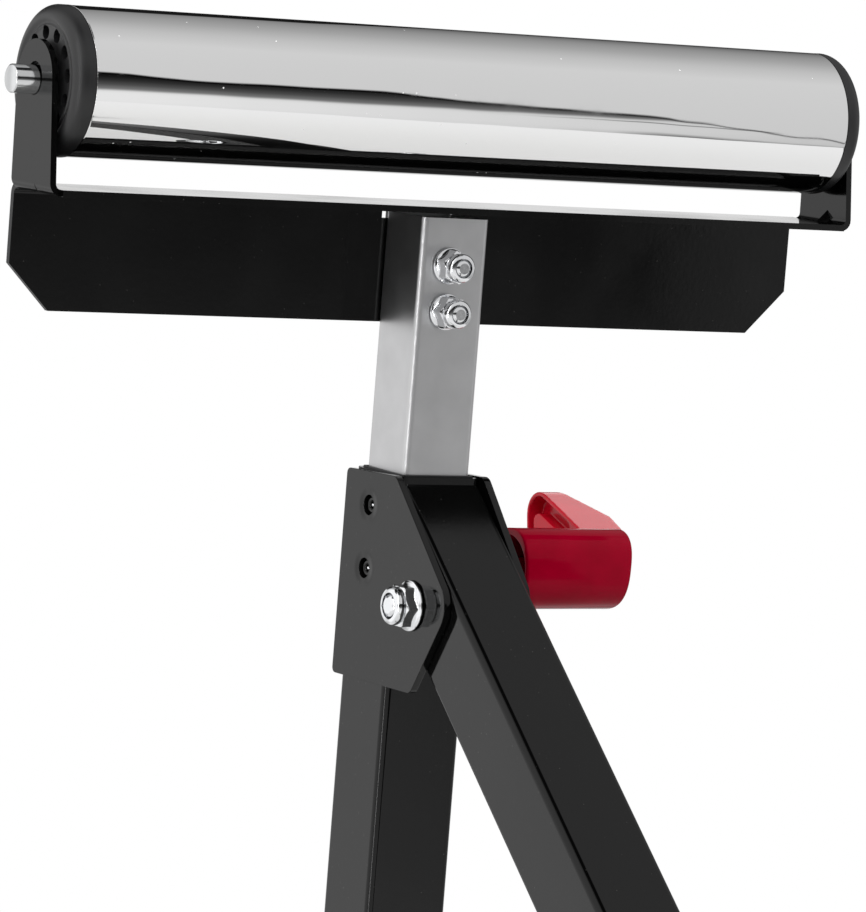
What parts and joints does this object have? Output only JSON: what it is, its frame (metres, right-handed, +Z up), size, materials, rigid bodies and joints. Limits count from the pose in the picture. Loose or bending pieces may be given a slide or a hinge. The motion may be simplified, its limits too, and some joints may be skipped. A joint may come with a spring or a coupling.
{
  "type": "roller stand",
  "caption": "Folding workshop roller stand: leaning square column with a telescoping post, hinged leg, red clamp lever and a chromed roller between bracket ears.",
  "frame": {"origin": "on the floor, in the middle of the footprint", "axes": "+Z up, the roller lies along X, the hinged leg points to -Y"},
  "size_m": [0.4466, 0.6052, 0.7398],
  "materials": {
    "black_coat": "gloss black powder coat",
    "chrome_plate": "polished chrome",
    "zinc_steel": "zinc plated, satin",
    "bright_steel": "bright plated",
    "red_plastic": "moulded red plastic",
    "black_plastic": "moulded black plastic",
    "rubber": "black rubber",
    "brass_pad": "plain brass"
  },
  "bodies": {
    "column": {"column": "black_coat", "guide_bush": "black_plastic", "hinge_plate_right": "black_coat", "hinge_plate_left": "black_coat", "plate_rivet_right": "black_coat", "plate_rivet_left_upper": "black_coat", "plate_rivet_left_lower": "black_coat", "hinge_bolt": "bright_steel", "hinge_nut": "bright_steel", "clamp_nut": "black_coat", "column_foot": "black_coat", "column_foot_boot_right": "rubber", "column_foot_boot_left": "rubber"},
    "leg": {"leg": "black_coat", "hinge_sleeve": "zinc_steel", "leg_foot": "black_coat", "leg_foot_boot_right": "rubber", "leg_foot_boot_left": "rubber"},
    "head": {"post": "zinc_steel", "post_plug": "black_plastic", "head_bracket": "black_coat", "head_bolt_upper": "bright_steel", "head_bolt_lower": "bright_steel", "head_nut_upper": "bright_steel", "head_nut_lower": "bright_steel", "axle": "bright_steel", "axle_clip_right": "zinc_steel", "axle_clip_left": "zinc_steel", "bearing_inner_right": "bright_steel", "bearing_inner_left": "bright_steel"},
    "roller": {"roller_tube": "chrome_plate", "end_cap_right": "black_plastic", "end_cap_left": "black_plastic", "bearing_outer_right": "bright_steel", "bearing_outer_left": "bright_steel", "ball_cage_right": "bright_steel", "ball_cage_left": "bright_steel"},
    "clamp_pad": {"clamp_pad": "brass_pad"},
    "lever": {"clamp_screw": "bright_steel", "clamp_lever": "red_plastic"}
  },
  "joints": [
    {"name": "leg_fold", "type": "hinge", "parent": "column", "child": "leg", "pos_m": [0, 0.16857, 0.51454], "axis": [1, 0, 0], "range_deg": [0, 50]},
    {"name": "post_height", "type": "slide", "parent": "column", "child": "head", "axis": [0, -0.153, 0.9882], "range_m": [-0.0555, 0.344]},
    {"name": "roller_spin", "type": "hinge", "parent": "head", "child": "roller", "pos_m": [0, 0.17407, 0.71109], "axis": [1, 0, 0], "continuous": true},
    {"name": "clamp_travel", "type": "slide", "parent": "column", "child": "clamp_pad", "axis": [1, 0, 0], "range_m": [0, 0.0015]},
    {"name": "clamp_turn", "type": "hinge", "parent": "clamp_pad", "child": "lever", "pos_m": [0, 0.20533, 0.52944], "axis": [1, 0, 0], "range_deg": [0, 365]}
  ],
  "couplings": [
    {"joint": "clamp_turn", "follows": "clamp_travel", "rad_per_m": 4188.8}
  ]
}
